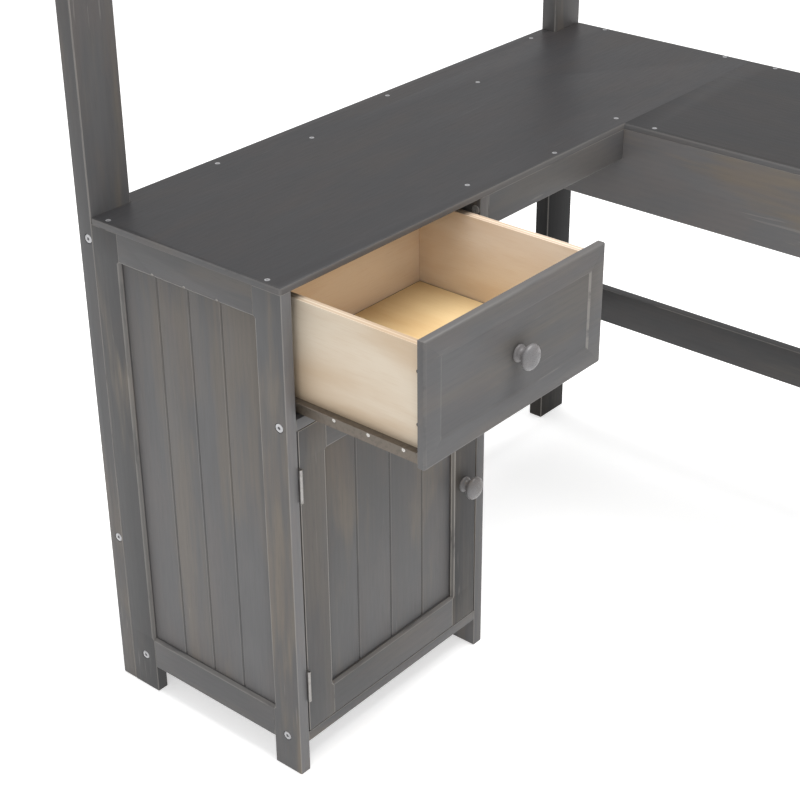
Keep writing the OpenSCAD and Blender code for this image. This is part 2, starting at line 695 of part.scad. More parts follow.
// ---- Catch ----
module magnetic_catch() place() color("white") difference() {
    translate([open_r - catch_w, catch_y, catch_z]) cube([catch_w, catch_d, catch_h]);
    small_cut(catch_screw, xp, catch_screw_len);
    translate([open_r - catch_w - eps, catch_mid_y - catch_pocket / 2, catch_mid_z - catch_pocket / 2])
        cube([catch_w - catch_base + eps, catch_pocket, catch_pocket]);
}
module catch_plate() place() color(zinc) difference() {
    translate([door_r - 1 - plate_w, door_t, catch_mid_z - plate_h / 2])
        cube([plate_w, plate_t, plate_h]);
    small_cut(plate_screw, ym, plate_screw_len);
}

// ---- Fasteners ----
module frame_bolts() place() color(zinc) for (b = BOLTS)
    aim(b[0] + b[1] * 0.2, b[1]) difference() {
        union() {
            cylinder(r1 = bolt_head_r - 0.6, r2 = bolt_head_r, h = 0.6);
            translate([0, 0, 0.6]) cylinder(r = bolt_head_r, h = bolt_head_h - 0.6);
            translate([0, 0, 1]) cylinder(r = bolt_r, h = bolt_len(b) - 1);
        }
        translate([0, 0, -eps]) cylinder(r = bolt_r * 0.85, h = 2 + eps, $fn = 6);
    }
module barrel_nuts() place() color(zinc) for (b = BOLTS) difference() {
    aim(nut_pos(b) - b[3] * (nut_len / 2), b[3]) cylinder(r = nut_r, h = nut_len);
    aim(nut_pos(b) - b[1] * 2 * nut_r, b[1]) cylinder(r = bolt_r + fit, h = 4 * nut_r);
}
module top_screws() place() color(zinc) for (t = TOP_SCREWS)
    screw([t[0], t[1], desk_h], zm, top_screw_len);
module cabinet_screws() place() color(zinc) {
    hinge_screw_places(xm) small_screw([0, 0, 0], xm, hinge_screw_len);
    for (r = [false, true], y = runner_screw_y)
        side(r) small_screw([open_l + steel_t, y, runner_screw_z], xm, runner_screw_len);
    small_screw(catch_screw, xp, catch_screw_len);
}
module door_screws() place() color(zinc) {
    hinge_screw_places(xp) small_screw([0, 0, 0], xp, hinge_screw_len);
    small_screw(plate_screw, ym, plate_screw_len);
}

main_top();
return_top();
left_post();
corner_post();
upper_back_rail();
lower_back_rail();
front_rail();
return_apron();
return_outer_rail();
return_stretcher();
outer_end_leg();
inner_end_leg();
end_top_rail();
end_low_rail();
left_front_leg();
left_back_leg();
left_top_rail();
left_bottom_rail();
left_side_panel();
right_front_leg();
right_back_leg();
right_top_rail();
right_bottom_rail();
right_side_panel();
mid_rail();
bottom_board();
back_board();
left_cabinet_runner();
right_cabinet_runner();
left_drawer_runner();
right_drawer_runner();
front_rollers();
rear_rollers();
drawer_front();
drawer_left_side();
drawer_right_side();
drawer_inner_front();
drawer_back();
drawer_bottom();
drawer_knob();
drawer_knob_screw();
drawer_screws();
door_left_stile();
door_right_stile();
door_top_rail();
door_bottom_rail();
door_panel();
door_knob();
door_knob_screw();
door_screws();
hinge_frame_leaves();
hinge_door_leaves();
hinge_pins();
magnetic_catch();
catch_plate();
frame_bolts();
barrel_nuts();
top_screws();
cabinet_screws();
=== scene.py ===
# The looks of the corner desk: stained boards, ply drawer, turned knobs, metal fittings.
import json
import math

import bmesh
import bpy
from mathutils import Matrix, Vector


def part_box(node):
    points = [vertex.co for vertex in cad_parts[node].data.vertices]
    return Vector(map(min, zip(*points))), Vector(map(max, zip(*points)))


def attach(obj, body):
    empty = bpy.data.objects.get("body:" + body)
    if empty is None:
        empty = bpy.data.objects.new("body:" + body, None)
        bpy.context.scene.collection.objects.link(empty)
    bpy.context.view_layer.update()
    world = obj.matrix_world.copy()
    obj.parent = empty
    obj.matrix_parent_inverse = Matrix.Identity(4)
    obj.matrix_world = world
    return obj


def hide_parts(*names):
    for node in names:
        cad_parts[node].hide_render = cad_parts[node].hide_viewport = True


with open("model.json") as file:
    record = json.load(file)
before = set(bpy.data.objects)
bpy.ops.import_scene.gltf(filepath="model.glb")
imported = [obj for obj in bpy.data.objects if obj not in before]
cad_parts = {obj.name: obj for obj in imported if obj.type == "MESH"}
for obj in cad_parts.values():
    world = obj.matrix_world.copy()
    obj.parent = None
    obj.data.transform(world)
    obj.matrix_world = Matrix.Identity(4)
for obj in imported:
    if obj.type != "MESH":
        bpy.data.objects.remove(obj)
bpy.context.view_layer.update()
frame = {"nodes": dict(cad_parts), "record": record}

MM = 0.001
X, Y, Z = Vector((1, 0, 0)), Vector((0, 1, 0)), Vector((0, 0, 1))
NODES = frame["nodes"]
BODY_OF = {n: b for b, names in frame["record"]["behaviour"]["bodies"].items() for n in names}
SIDES = {"left": -1, "right": 1}

# Sizes of the joinery that the boxes of the nodes don't give
TONGUE = 6 * MM  # part of a side rail that its leg hides
PANEL_SUNK = 6 * MM
MOULDING = 3.6 * MM  # chamfer of a frame beside its panel
SCALLOP_RADIUS = 3.2 * MM
SCALLOP_LENGTH = 12 * MM
SCALLOP_DROP = 4 * MM  # from the rail's edge down to where the cutter starts
STILE = 51 * MM
DOOR_TOP = 48 * MM
DOOR_LOW = 53 * MM
SIDE_PITCH = 58.5 * MM  # between grooves
DOOR_PITCH = 69 * MM
GROOVE = 2.2 * MM
WORKTOP_EDGE = 3 * MM
POST_EDGE = 1.6 * MM
BOARD_EDGE = 1.0 * MM
DOOR_EDGE = 0.8 * MM
PANEL_EDGE = 0.3 * MM
POST_GAP = 0.3 * MM  # round a post in its notch
FIELD_BORDER = 29 * MM  # round the drawer front's sunk field
FIELD_BEVEL = 3 * MM
FIELD_DEPTH = 2 * MM
FLOOR_INSET = 5.2 * MM  # the drawer's floor stands in grooves that the walls hide
SEAM = 1.3 * MM  # dark line round the drawer's floor: glue and painted shade in the joint

# Holes, as radius and depth, and how far outside a face their cutters start
BOLT_SINK = 7 * MM, 3.4 * MM
SCREW_SINK = 3.7 * MM, 2 * MM
SCREW_SHANK = 1.9 * MM
NUT_HOLE = 5.1 * MM, 14 * MM
BOX_SCREW_SINK = 2.9 * MM, 1.2 * MM
DOWEL_HOLE = 4 * MM, 30 * MM
DOWEL_HALF_PITCH = 20 * MM
OUTSIDE = MM


# ---------------------------------------------------------------- shader node groups
def new_group(name, inputs, outputs):
    """An empty shader node group with its two ends; sockets are (kind, name, default)."""
    group = bpy.data.node_groups.new(name, "ShaderNodeTree")
    for kind, label, value in inputs:
        socket = group.interface.new_socket(label, in_out="INPUT", socket_type="NodeSocket" + kind)
        if value is not None:
            socket.default_value = value
    for kind, label in outputs:
        group.interface.new_socket(label, in_out="OUTPUT", socket_type="NodeSocket" + kind)
    start = group.nodes.new("NodeGroupInput")
    end = group.nodes.new("NodeGroupOutput")
    return group, start, end


def math_node(tree, how, a, b=None, c=None):
    node = tree.nodes.new("ShaderNodeMath")
    node.operation = how
    for socket, value in zip(node.inputs, (a, b, c)):
        if value is None:
            continue
        if isinstance(value, (int, float)):
            socket.default_value = value
        else:
            tree.links.new(value, socket)
    return node.outputs[0]


def ramp(tree, value, low, high):
    """0 below low, 1 above high, smooth between."""
    node = tree.nodes.new("ShaderNodeMapRange")
    node.interpolation_type = "SMOOTHSTEP"
    node.inputs["From Min"].default_value = low
    node.inputs["From Max"].default_value = high
    tree.links.new(value, node.inputs["Value"])
    return node.outputs["Result"]


def share(tree, mask, amount, low=None, high=None):
    """A mask cut down to an amount; given two levels, it is ramped between them first."""
    if low is not None:
        mask = ramp(tree, mask, low, high)
    return math_node(tree, "MULTIPLY", mask, amount)


def toned(colour, strength):
    return tuple(c * strength for c in colour)


def mix_colour(tree, factor, a, b):
    """Colour a, turning to b as the factor rises."""
    node = tree.nodes.new("ShaderNodeMix")
    node.data_type = "RGBA"
    for socket, value in ((node.inputs[0], factor), (node.inputs[6], a), (node.inputs[7], b)):
        if isinstance(value, (int, float)):
            socket.default_value = value
        elif isinstance(value, tuple):
            socket.default_value = (*value, 1)
        else:
            tree.links.new(value, socket)
    return node.outputs[2]


def stretched_noise(tree, place, stretch, scale, detail, rough=0.5, twist=0.0):
    """Noise drawn out along the first axis, as grain is."""
    scaled = tree.nodes.new("ShaderNodeVectorMath")
    scaled.operation = "MULTIPLY"
    scaled.inputs[1].default_value = stretch
    tree.links.new(place, scaled.inputs[0])
    noise = tree.nodes.new("ShaderNodeTexNoise")
    noise.inputs["Scale"].default_value = scale
    noise.inputs["Detail"].default_value = detail
    noise.inputs["Roughness"].default_value = rough
    noise.inputs["Distortion"].default_value = twist
    tree.links.new(scaled.outputs[0], noise.inputs["Vector"])
    return noise.outputs["Fac"]


def make_grain():
    """Pine grain along X: fine pores, growth rings drawn out, broad patches."""
    group, start, end = new_group(
        "Pine grain", [("Vector", "Place", None)],
        [("Float", "Pores"), ("Float", "Rings"), ("Float", "Patches")])
    place = start.outputs["Place"]
    pores = stretched_noise(group, place, (0.035, 1, 1), 900, 3, 0.6)
    warp = stretched_noise(group, place, (0.12, 1, 1), 9, 2, 0.5, 0.6)
    split = group.nodes.new("ShaderNodeSeparateXYZ")
    group.links.new(place, split.inputs[0])
    across = math_node(group, "ADD", split.outputs["Y"], split.outputs["Z"])
    phase = math_node(group, "MULTIPLY_ADD", across, 620.0, math_node(group, "MULTIPLY", warp, 26.0))
    rings = math_node(group, "MULTIPLY_ADD", math_node(group, "SINE", phase), 0.5, 0.5)
    patches = stretched_noise(group, place, (0.22, 1, 1), 14, 4, 0.55, 0.3)
    group.links.new(pores, end.inputs["Pores"])
    group.links.new(rings, end.inputs["Rings"])
    group.links.new(patches, end.inputs["Patches"])
    return group


def make_wear():
    """Rounded edges rubbed pale, broken up by noise, and painted shade in hollows, where ambient occlusion
    finds little open air.
    """
    group, start, end = new_group("Edge wear", [("Vector", "Place", None)],
                                  [("Float", "Edge"), ("Float", "Rub"), ("Float", "Hollow shade")])
    rubbed = group.nodes.new("ShaderNodeAttribute")
    rubbed.attribute_name = "rubbed"
    edge = rubbed.outputs["Fac"]
    open_air = group.nodes.new("ShaderNodeAmbientOcclusion")
    open_air.samples = 6
    open_air.only_local = True
    open_air.inputs["Distance"].default_value = 4 * MM
    noise = stretched_noise(group, start.outputs["Place"], (0.2, 1, 1), 38, 4, 0.6)
    rub = math_node(group, "MULTIPLY", edge, ramp(group, noise, 0.33, 0.5))
    # Painted shade: the less open air round a spot, the darker it is painted.
    hollow_shade = math_node(group, "SUBTRACT", 1.0, ramp(group, open_air.outputs["AO"], 0.45, 0.85))
    group.links.new(edge, end.inputs["Edge"])
    group.links.new(rub, end.inputs["Rub"])
    group.links.new(hollow_shade, end.inputs["Hollow shade"])
    return group


def make_wash():
    """Grey stain over pine: brown where it was wiped thin, darker where it pooled."""
    group, start, end = new_group(
        "Stain wash",
        [("Vector", "Place", None), ("Color", "Stain", (0.15, 0.15, 0.15, 1)),
         ("Color", "Wood", (0.22, 0.17, 0.12, 1)), ("Float", "Brown", 0.4)],
        [("Color", "Color"), ("Float", "Mottle")])
    place = start.outputs["Place"]
    group.links.new(stretched_noise(group, place, (0.3, 1, 1), 22, 4, 0.6, 0.5), end.inputs["Mottle"])
    broad = stretched_noise(group, place, (0.2, 1, 1), 11, 3, 0.55, 0.4)
    fine = stretched_noise(group, place, (0.06, 1, 1), 120, 3, 0.6)
    spread = math_node(group, "MULTIPLY_ADD", fine, 0.16, math_node(group, "MULTIPLY", broad, 0.84))
    thin = ramp(group, spread, 0.49, 0.62)
    amount = math_node(group, "MULTIPLY", thin, start.outputs["Brown"])
    washed = mix_colour(group, amount, start.outputs["Stain"], start.outputs["Wood"])
    group.links.new(washed, end.inputs["Color"])
    return group


def make_scuffs():
    """Short pale scratches, sparse, lying along X."""
    group, start, end = new_group("Pale scuffs", [("Vector", "Place", None)], [("Float", "Scuff")])
    place = start.outputs["Place"]
    lines = stretched_noise(group, place, (0.05, 1, 1), 210, 2, 0.5)
    where = stretched_noise(group, place, (0.6, 1, 1), 9, 2, 0.5)
    hit = math_node(group, "MULTIPLY", ramp(group, lines, 0.66, 0.72), ramp(group, where, 0.56, 0.64))
    group.links.new(hit, end.inputs["Scuff"])
    return group


def make_plies():
    """Layers of plywood stacked along X: a shade for each layer and a line of glue between."""
    group, start, end = new_group(
        "Ply layers", [("Vector", "Place", None), ("Float", "Layer", 0.0024)],
        [("Float", "Shade"), ("Float", "Glue")])
    split = group.nodes.new("ShaderNodeSeparateXYZ")
    group.links.new(start.outputs["Place"], split.inputs[0])
    height = math_node(group, "DIVIDE", split.outputs["X"], start.outputs["Layer"])
    index = math_node(group, "FLOOR", height)
    odd = math_node(group, "PINGPONG", index, 1.0)
    part = math_node(group, "FRACT", height)
    near = math_node(group, "ABSOLUTE", math_node(group, "SUBTRACT", part, 0.5))
    group.links.new(odd, end.inputs["Shade"])
    group.links.new(ramp(group, near, 0.34, 0.46), end.inputs["Glue"])
    return group


def make_brushing():
    """Fine marks and cloudy spots on plated or coated steel."""
    group, start, end = new_group("Metal marks", [("Vector", "Place", None)],
                                  [("Float", "Lines"), ("Float", "Cloud")])
    place = start.outputs["Place"]
    group.links.new(stretched_noise(group, place, (0.1, 1, 1), 1500, 2), end.inputs["Lines"])
    group.links.new(stretched_noise(group, place, (1, 1, 1), 160, 3), end.inputs["Cloud"])
    return group


GRAIN, WEAR, WASH = make_grain(), make_wear(), make_wash()
SCUFFS, PLIES, BRUSHING = make_scuffs(), make_plies(), make_brushing()

# Turns that lay the grain, which runs along X in the groups, along another axis
ALONG = {"x": (0, 0, 0), "y": (0, 0, math.radians(-90)), "z": (0, math.radians(90), 0)}


# ---------------------------------------------------------------- materials
def open_material(name, along="x", shift=(0, 0, 0)):
    """A material with its shader and the coordinates turned so that X runs along the grain."""
    material = bpy.data.materials.new(name)
    material.use_nodes = True
    tree = material.node_tree
    shader = tree.nodes["Principled BSDF"]
    coords = tree.nodes.new("ShaderNodeTexCoord")
    mapping = tree.nodes.new("ShaderNodeMapping")
    mapping.inputs["Rotation"].default_value = ALONG[along]
    mapping.inputs["Location"].default_value = shift
    tree.links.new(coords.outputs["Object"], mapping.inputs["Vector"])
    return material, tree, shader, mapping.outputs["Vector"]


def place_group(tree, group, place, **values):
    node = tree.nodes.new("ShaderNodeGroup")
    node.node_tree = group
    tree.links.new(place, node.inputs["Place"])
    for label, value in values.items():
        node.inputs[label].default_value = value
    return node


def add_bump(tree, shader, height, strength, distance):
    bump = tree.nodes.new("ShaderNodeBump")
    bump.inputs["Strength"].default_value = strength
    bump.inputs["Distance"].default_value = distance
    tree.links.new(height, bump.inputs["Height"])
    tree.links.new(bump.outputs["Normal"], shader.inputs["Normal"])


def stained_pine(name, along, shift, stain, wood, brown, rough, rub_colour, rub=0.75, scuff=0.18,
                 gloss_level=0.35):
    """Pine under a thin stain: washed colour, grain, rubbed edges, pale scuffs and painted shade in its
    hollows.

    wood is the colour where the stain was wiped thin, and brown is how much of it shows.
    """
    material, tree, shader, place = open_material(name, along, shift)
    grain = place_group(tree, GRAIN, place)
    wash = place_group(tree, WASH, place, Stain=(*stain, 1), Wood=(*wood, 1), Brown=brown)
    wear = place_group(tree, WEAR, place)
    scuffs = place_group(tree, SCUFFS, place)
    dark, light, hollow_shade_colour = toned(stain, 0.78), toned(stain, 1.16), toned(stain, 0.3)
    warm = tuple(c * k for c, k in zip(stain, (1.24, 1.10, 1.02)))
    colour = mix_colour(tree, share(tree, wash.outputs["Mottle"], 0.4, 0.42, 0.66),
                        wash.outputs["Color"], warm)
    colour = mix_colour(tree, share(tree, grain.outputs["Rings"], 0.13), colour, dark)
    colour = mix_colour(tree, share(tree, grain.outputs["Patches"], 0.5, 0.5, 0.7), colour, light)
    colour = mix_colour(tree, share(tree, grain.outputs["Pores"], 0.3, 0.52, 0.7), colour, dark)
    colour = mix_colour(tree, share(tree, scuffs.outputs["Scuff"], scuff), colour, rub_colour)
    colour = mix_colour(tree, share(tree, wear.outputs["Rub"], rub), colour, rub_colour)
    # Painted shade: hollows are darkened towards a deep copy of the stain.
    colour = mix_colour(tree, share(tree, wear.outputs["Hollow shade"], 0.7), colour, hollow_shade_colour)
    tree.links.new(colour, shader.inputs["Base Color"])
    gloss = math_node(tree, "MULTIPLY_ADD", grain.outputs["Pores"], 0.18, rough - 0.09)
    tree.links.new(math_node(tree, "MULTIPLY_ADD", wear.outputs["Edge"], -0.06, gloss),
                   shader.inputs["Roughness"])
    height = math_node(tree, "MULTIPLY_ADD", grain.outputs["Pores"], -0.7,
                       share(tree, grain.outputs["Rings"], 0.3))
    add_bump(tree, shader, height, 0.25, 0.3 * MM)
    shader.inputs["Specular IOR Level"].default_value = gloss_level
    return material


# Colours in linear light
GREY = (0.106, 0.105, 0.107)
BROWN = (0.158, 0.132, 0.102)
TAN = (0.34, 0.32, 0.295)
WORKTOP = (0.029, 0.0285, 0.030)
WORKTOP_BROWN = (0.040, 0.034, 0.030)
WORKTOP_RUBBED = (0.20, 0.195, 0.19)
KNOB_GREY = (0.158, 0.155, 0.158)
KNOB_RUBBED = (0.3, 0.29, 0.28)
PLY_LIGHT = (0.72, 0.60, 0.46)
PLY_DEEP = (0.60, 0.44, 0.29)
PLY_LAYER = (0.33, 0.21, 0.12)
PLY_GLUE = (0.30, 0.19, 0.11)
_count = [0]


def next_shift():
    """A new place in the noise for each board, so that no two look alike."""
    _count[0] += 1
    k = _count[0]
    return (0.731 * k, 0.413 * (k % 7), 0.297 * (k % 5))


def grey_board(name, along, tone=1.0, brown=0.45, gloss_level=0.35):
    return stained_pine("Stain " + name, along, next_shift(), toned(GREY, tone), BROWN, brown,
                        rough=0.52, rub_colour=TAN, gloss_level=gloss_level)


def worktop_board(name, along, tone):
    return stained_pine("Stain " + name, along, next_shift(), toned(WORKTOP, tone),
                        toned(WORKTOP_BROWN, tone), brown=0.3, rough=0.42,
                        rub_colour=WORKTOP_RUBBED, rub=0.4, scuff=0.08, gloss_level=0.22)


def raw_ply(name, along, stack, warm, low, thick):
    """Clear-sealed plywood: faint figure on its faces, layers on its edges.

    The layers lie along the stack axis, from low through the board's thickness.
    """
    material, tree, shader, place = open_material("Ply " + name, along, next_shift())
    grain = place_group(tree, GRAIN, place)
    stack_place = tree.nodes.new("ShaderNodeMapping")
    stack_place.inputs["Rotation"].default_value = ALONG[stack]
    layer = thick / 4
    stack_place.inputs["Location"].default_value = (layer / 2 - low, 0, 0)
    coords = tree.nodes["Texture Coordinate"]
    tree.links.new(coords.outputs["Object"], stack_place.inputs["Vector"])
    plies = place_group(tree, PLIES, stack_place.outputs["Vector"], Layer=layer)
    light, deep = (tuple(c * k for c, k in zip(shade, warm)) for shade in (PLY_LIGHT, PLY_DEEP))
    figure = mix_colour(tree, ramp(tree, grain.outputs["Patches"], 0.35, 0.75), light, deep)
    lined = mix_colour(tree, share(tree, grain.outputs["Pores"], 0.35, 0.5, 0.75), figure, deep)
    layered = mix_colour(tree, share(tree, plies.outputs["Shade"], 0.5), lined, PLY_LAYER)
    glued = mix_colour(tree, share(tree, plies.outputs["Glue"], 0.6), layered, PLY_GLUE)
    tree.links.new(glued, shader.inputs["Base Color"])
    tree.links.new(math_node(tree, "MULTIPLY_ADD", grain.outputs["Pores"], 0.2, 0.42),
                   shader.inputs["Roughness"])
    add_bump(tree, shader, grain.outputs["Pores"], 0.12, 0.2 * MM)
    return material


def coated_metal(name, colour, metallic, rough, spot, lower=None, level=0.0):
    """Plated or coated steel with faint marks and clouding; lower is its colour below a level."""
    material, tree, shader, place = open_material(name)
    marks = place_group(tree, BRUSHING, place)
    cloudy = mix_colour(tree, share(tree, marks.outputs["Cloud"], 0.5, 0.45, 0.7), colour, spot)
    if lower:
        split = tree.nodes.new("ShaderNodeSeparateXYZ")
        tree.links.new(place, split.inputs[0])
        below = math_node(tree, "LESS_THAN", split.outputs["Z"], level)
        cloudy = mix_colour(tree, below, cloudy, lower)
    tree.links.new(cloudy, shader.inputs["Base Color"])
    shader.inputs["Metallic"].default_value = metallic
    tree.links.new(math_node(tree, "MULTIPLY_ADD", marks.outputs["Lines"], 0.2, rough - 0.1),
                   shader.inputs["Roughness"])
    add_bump(tree, shader, marks.outputs["Lines"], 0.15, 0.05 * MM)
    return material


def moulded(name, colour, rough):
    """Moulded plastic with a faint satin mottle."""
    material, tree, shader, place = open_material(name)
    marks = place_group(tree, BRUSHING, place)
    mottled = mix_colour(tree, share(tree, marks.outputs["Cloud"], 0.3), colour, toned(colour, 0.82))
    tree.links.new(mottled, shader.inputs["Base Color"])
    tree.links.new(math_node(tree, "MULTIPLY_ADD", marks.outputs["Cloud"], 0.15, rough),
                   shader.inputs["Roughness"])
    add_bump(tree, shader, marks.outputs["Cloud"], 0.1, 0.1 * MM)
    return material


# ---------------------------------------------------------------- modelling helpers
def deselect():
    for other in list(bpy.context.selected_objects):
        other.select_set(False)


def only(obj):
    """Selects this piece alone and makes it the active one."""
    deselect()
    obj.select_set(True)
    bpy.context.view_layer.objects.active = obj


def settle(obj):
    """The object's place, turn and size go into its mesh."""
    only(obj)
    bpy.ops.object.transform_apply(location=True, rotation=True, scale=True)
    return obj


def block(low, high, name="block"):
    """A box between two corners, with its place in its mesh."""
    deselect()
    bpy.ops.mesh.primitive_cube_add(size=1, location=(Vector(low) + Vector(high)) / 2)
    obj = bpy.context.object
    obj.name = name
    obj.scale = Vector(high) - Vector(low)
    return settle(obj)


def pick(obj, faces=None, edges=None):
    """In edit mode, selects the faces or edges that the test says yes to."""
    bpy.ops.mesh.select_all(action="DESELECT")
    mesh = bmesh.from_edit_mesh(obj.data)
    if faces:
        bpy.ops.mesh.select_mode(type="FACE")
        mesh = bmesh.from_edit_mesh(obj.data)
        for face in mesh.faces:
            face.select_set(bool(faces(face)))
    if edges:
        bpy.ops.mesh.select_mode(type="EDGE")
        mesh = bmesh.from_edit_mesh(obj.data)
        for edge in mesh.edges:
            edge.select_set(bool(edges(edge)))
    mesh.select_flush_mode()
    bmesh.update_edit_mesh(obj.data)


def ends_of(edge):
    return edge.verts[0].co, edge.verts[1].co


def is_sharp(edge):
    return len(edge.link_faces) == 2 and edge.calc_face_angle(0) > math.radians(40)


def round_picked(obj, width, segments, rubbed):
    """Bevels the picked edges and notes on the new faces how far they are rubbed.

    The bevel gives its faces the second slot, which tells them apart until they are noted.
    """
    while len(obj.data.materials) < 2:
        obj.data.materials.append(None)
    bpy.ops.mesh.bevel(offset=width, segments=segments, affect="EDGES", clamp_overlap=True, material=1)
    bpy.ops.object.mode_set(mode="OBJECT")
    note_rubbed(obj, rubbed, lambda face: face.material_index == 1)
    for face in obj.data.polygons:
        face.material_index = 0


def note_rubbed(obj, amount, test):
    """Writes how far the faces that pass the test are rubbed."""
    layer = obj.data.attributes.get("rubbed") or obj.data.attributes.new("rubbed", "FLOAT", "FACE")
    for face in obj.data.polygons:
        if test(face):
            layer.data[face.index].value = amount


def soften(obj, width, skip=None, segments=2, rubbed=0.45):
    """Rounds the sharp edges, apart from those that the test leaves."""
    only(obj)
    bpy.ops.object.mode_set(mode="EDIT")
    pick(obj, edges=lambda e: is_sharp(e) and not (skip and skip(e)))
    round_picked(obj, width, segments, rubbed)


def chamfer(obj, width, test):
    """Cuts one flat chamfer along the edges that the test picks."""
    only(obj)
    bpy.ops.object.mode_set(mode="EDIT")
    pick(obj, edges=test)
    round_picked(obj, width, segments=1, rubbed=0.3)


def split_at(obj, place, normal):
    """Adds a line of edges round the piece in the given plane."""
    only(obj)
    bpy.ops.object.mode_set(mode="EDIT")
    bpy.ops.mesh.select_all(action="SELECT")
    bpy.ops.mesh.bisect(plane_co=place, plane_no=normal)
    bpy.ops.object.mode_set(mode="OBJECT")


def carve(obj, cutter):
    """Takes the cutter's shape out of the piece and removes the cutter."""
    only(obj)
    cut = obj.modifiers.new("cut", "BOOLEAN")
    cut.operation = "DIFFERENCE"
    cut.solver = "EXACT"
    cut.object = cutter
    bpy.ops.object.modifier_apply(modifier="cut")
    bpy.data.objects.remove(cutter)


def rod(start, axis, length, radius, sides=32, tip=None):
    """A cylinder from start along axis, or a cone if tip gives its other radius."""
    deselect()
    turn = axis.to_track_quat("Z", "Y").to_euler()
    bpy.ops.mesh.primitive_cone_add(
        vertices=sides, radius1=radius, radius2=radius if tip is None else tip, depth=length,
        location=start + axis * (length / 2), rotation=turn)
    return settle(bpy.context.object)


def smooth(obj, degrees=32):
    only(obj)
    bpy.ops.object.shade_smooth_by_angle(angle=math.radians(degrees))


def finish_piece(obj, name, material, node):
    """Names the piece, gives it its material and lets it stand for its CAD node."""
    obj.name = name
    obj.data.name = name
    obj.data.materials.clear()
    obj.data.materials.append(material)
    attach(obj, BODY_OF[node])
    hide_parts(node)
    return obj


def fastener_places(node):
    """Of each solid in a CAD node of fasteners: its head's middle, the way it points, its length."""
    mesh = bmesh.new()
    mesh.from_mesh(NODES[node].data)
    bmesh.ops.remove_doubles(mesh, verts=mesh.verts, dist=1e-6)
    left, found = set(mesh.verts), []
    while left:
        stack = [min(left, key=lambda v: v.index)]
        island = set(stack)
        while stack:
            for edge in stack.pop().link_edges:
                for v in edge.verts:
                    if v not in island:
                        island.add(v)
                        stack.append(v)
        left -= island
        low = Vector([min(v.co[k] for v in island) for k in range(3)])
        high = Vector([max(v.co[k] for v in island) for k in range(3)])
        size = high - low
        k = max(range(3), key=lambda i: size[i])
        middle = (low + high) / 2
        spread = [0.0, 0.0]
        for v in island:
            away = v.co - middle
            away[k] = 0
            end = 0 if v.co[k] < middle[k] else 1
            spread[end] = max(spread[end], away.length)
        axis = Vector((0, 0, 0))
        axis[k] = 1 if spread[0] > spread[1] else -1
        middle[k] = low[k] if spread[0] > spread[1] else high[k]
        found.append((middle.copy(), axis, size[k]))
    mesh.free()
    return sorted(found, key=lambda f: tuple(round(c, 6) for c in f[0]))


BOLTS = fastener_places("frame_bolts")
TOP_SCREWS = fastener_places("top_screws")
BOX_SCREWS = fastener_places("drawer_screws")
NUTS = fastener_places("barrel_nuts")


def near_face(point, axis, low, high, slack=0.4 * MM):
    """Whether a fastener that points along axis enters a board at the board's own face."""
    k = max(range(3), key=lambda i: abs(axis[i]))
    face = low[k] if axis[k] > 0 else high[k]
    if abs(point[k] - face) > slack:
        return False
    return all(low[i] < point[i] < high[i] for i in range(3) if i != k)


def sink(obj, point, axis, hole, sides, tip=None):
    """Cuts a round hole at a fastener's head; with a tip, it narrows below the face."""
    radius, depth = hole
    if tip is None:
        carve(obj, rod(point - axis * 2 * OUTSIDE, axis, depth + 2 * OUTSIDE, radius, sides))
        return
    carve(obj, rod(point - axis * OUTSIDE, axis, OUTSIDE, radius, sides))
    carve(obj, rod(point, axis, depth, radius, sides, tip))


def drill(obj, low, high, nuts_open=None):
    """Cuts the counterbores of bolts, the countersinks of screws and the holes of barrel nuts."""
    for point, axis, _ in BOLTS:
        if near_face(point, axis, low, high):
            sink(obj, point, axis, BOLT_SINK, 40)
    for point, axis, _ in TOP_SCREWS:
        if near_face(point, axis, low, high):
            sink(obj, point, axis, SCREW_SINK, 28, SCREW_SHANK)
    if nuts_open is None:
        return
    for point, axis, length in NUTS:
        middle = point + axis * length / 2
        if all(low[i] < middle[i] < high[i] for i in range(3)):
            carve(obj, rod(middle, nuts_open, NUT_HOLE[1], NUT_HOLE[0], 28))


def board(name, node, along, low=None, high=None, edge=BOARD_EDGE, tone=1.0, brown=0.45,
          nuts_open=None, shape=None, skip=None, material=None, rubbed=0.45):
    """One stained board: a box at its node's place, shaped, drilled and eased along its edges."""
    box_low, box_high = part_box(node)
    low = Vector(low) if low is not None else box_low
    high = Vector(high) if high is not None else box_high
    obj = block(low, high, name)
    if shape:
        shape(obj, low, high)
    soften(obj, edge, skip, rubbed=rubbed)
    drill(obj, low, high, nuts_open)
    smooth(obj)
    return finish_piece(obj, name, material or grey_board(name, along, tone, brown), node)


def restain(obj, material, test):
    """A second stain on the faces that pass the test."""
    obj.data.materials.append(material)
    for face in obj.data.polygons:
        if test(face):
            face.material_index = 1


def on_plane(edge, axis, value, slack=0.05 * MM):
    a, b = ends_of(edge)
    return abs(a[axis] - value) < slack and abs(b[axis] - value) < slack


# ---------------------------------------------------------------- worktop and frame
def notch_for_posts(obj, low, high):
    for node in ("left_post", "corner_post"):
        a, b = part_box(node)
        carve(obj, block((a.x - POST_GAP, a.y - POST_GAP, low.z - OUTSIDE),
                         (b.x + POST_GAP, b.y + OUTSIDE, high.z + OUTSIDE)))


top_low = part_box("main_top")[0]
ret_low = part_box("return_top")[0]
seam_y = top_low.y
main_worktop = board(
    "main_worktop", "main_top", "x", edge=WORKTOP_EDGE, rubbed=0.12, shape=notch_for_posts,
    skip=lambda e: on_plane(e, 2, top_low.z) or (
        on_plane(e, 1, seam_y) and min(v.co.x for v in e.verts) > ret_low.x - 2 * MM),
    material=worktop_board("main worktop", "x", 1.12))
return_worktop = board(
    "return_worktop", "return_top", "y", edge=WORKTOP_EDGE, rubbed=0.12,
    skip=lambda e: on_plane(e, 2, top_low.z) or on_plane(e, 1, seam_y),
    material=worktop_board("return worktop", "y", 0.85))
